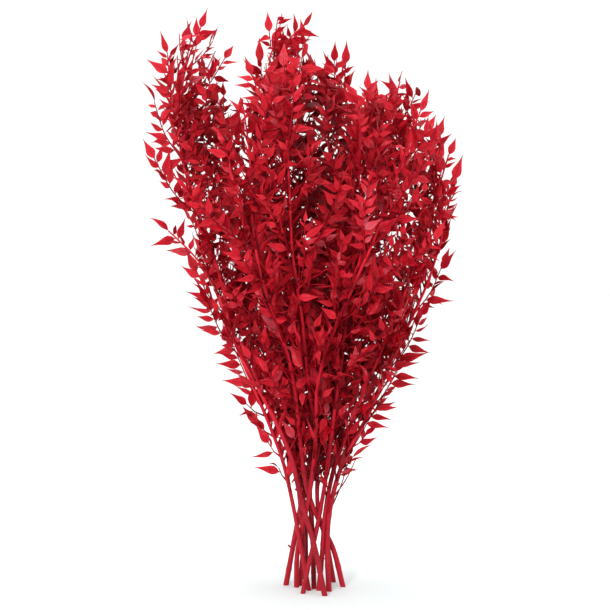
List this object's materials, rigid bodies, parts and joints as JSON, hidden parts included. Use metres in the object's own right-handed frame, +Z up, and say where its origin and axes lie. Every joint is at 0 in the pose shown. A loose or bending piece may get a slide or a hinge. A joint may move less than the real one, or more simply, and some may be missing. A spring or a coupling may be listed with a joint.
{
  "type": "bunch of dried ruscus stems",
  "caption": "Standing bunch of dried ruscus stems, dyed deep red: bare cut ends, a narrow crossing waist and a dense upright crown of small pointed leaves.",
  "frame": {"origin": "centre of the flat cut end of the inner stem, on the surface that the bunch stands on", "axes": "+Z up along the stems, +X to the right in the front view, +Y away from the front"},
  "size_m": [0.3774, 0.3054, 0.6963],
  "materials": {
    "dyed_ruscus": "matte, dyed deep red, thin dry leaves on woody stems"
  },
  "bodies": {
    "root": {"leafy_stem_back": "dyed_ruscus", "leafy_stem_back_left": "dyed_ruscus", "leafy_stem_back_right": "dyed_ruscus", "leafy_stem_front": "dyed_ruscus", "leafy_stem_front_left": "dyed_ruscus", "leafy_stem_front_right": "dyed_ruscus", "leafy_stem_left_low": "dyed_ruscus", "leafy_stem_left_tall": "dyed_ruscus", "leafy_stem_middle": "dyed_ruscus", "leafy_stem_right_front": "dyed_ruscus", "leafy_stem_right_low": "dyed_ruscus", "leafy_stem_right_tall": "dyed_ruscus"}
  },
  "joints": []
}
